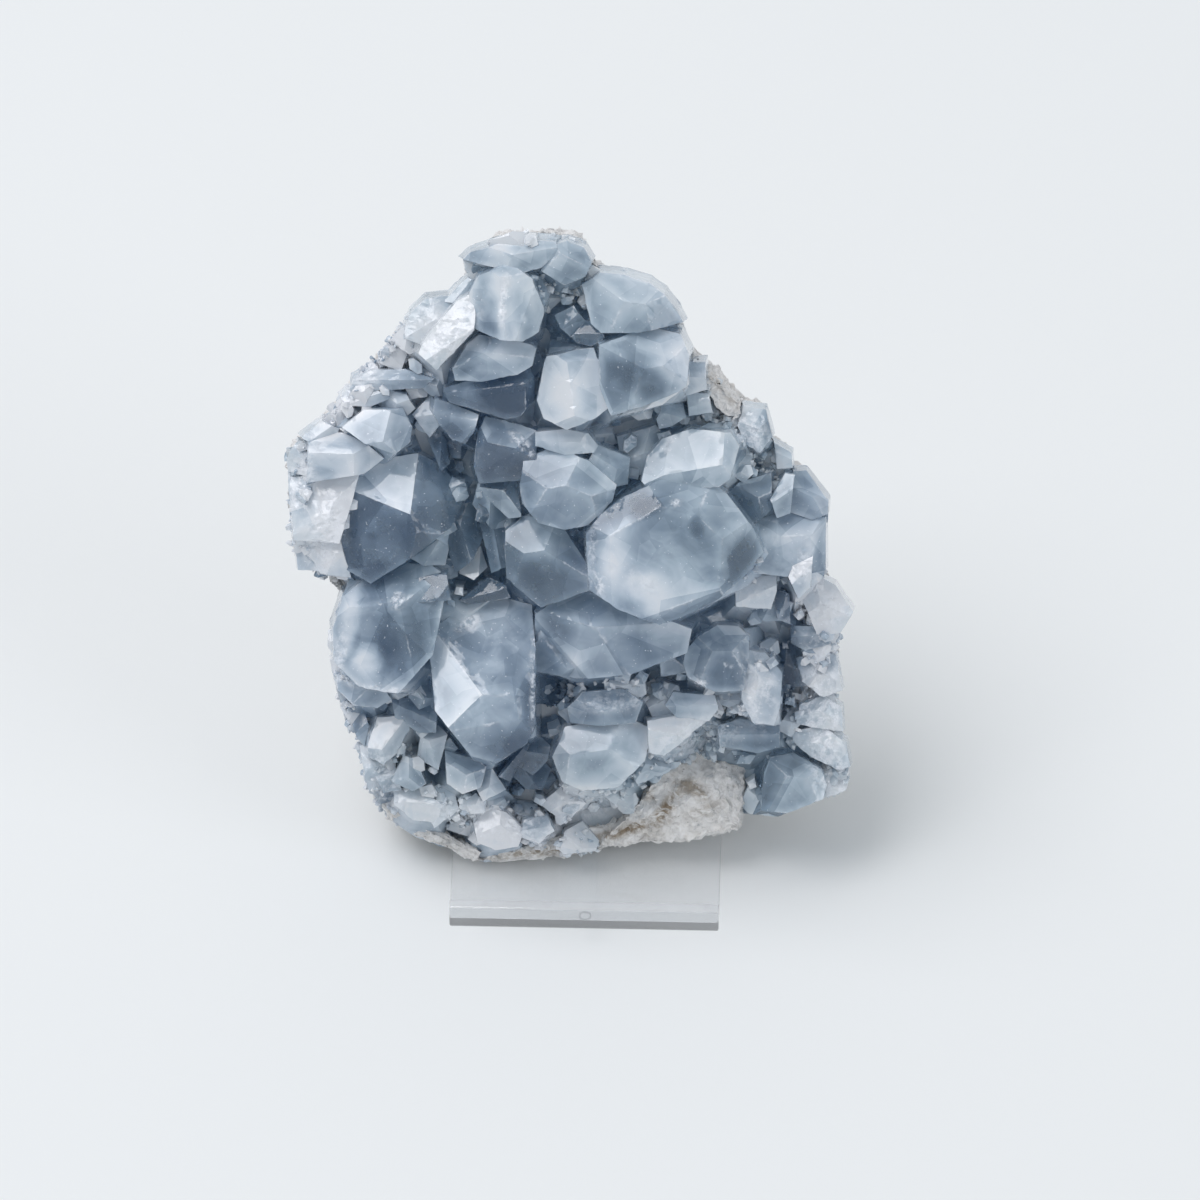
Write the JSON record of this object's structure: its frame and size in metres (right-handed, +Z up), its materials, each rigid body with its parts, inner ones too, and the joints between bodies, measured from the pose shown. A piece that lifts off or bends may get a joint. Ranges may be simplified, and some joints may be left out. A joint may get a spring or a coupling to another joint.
{
  "type": "crystal cluster on a display easel",
  "caption": "Geode fragment covered in translucent pale blue crystals on white rock, leaning on a small clear bent-sheet easel; it stands on a shelf for display.",
  "frame": {"origin": "middle of the underside of the object's box, on the surface that the easel stands on", "axes": "+Z up, +X to the right of someone who faces the crystals, +Y away from them, towards the easel's rear leg"},
  "size_m": [0.0968, 0.0914, 0.1092],
  "materials": {
    "celestite": "translucent crystal, glossy faces",
    "matrix_rock": "rough rock",
    "clear_acrylic": "clear, polished"
  },
  "bodies": {
    "root": {"celestite_crystals": "celestite", "matrix": "matrix_rock", "easel": "clear_acrylic"}
  },
  "joints": []
}
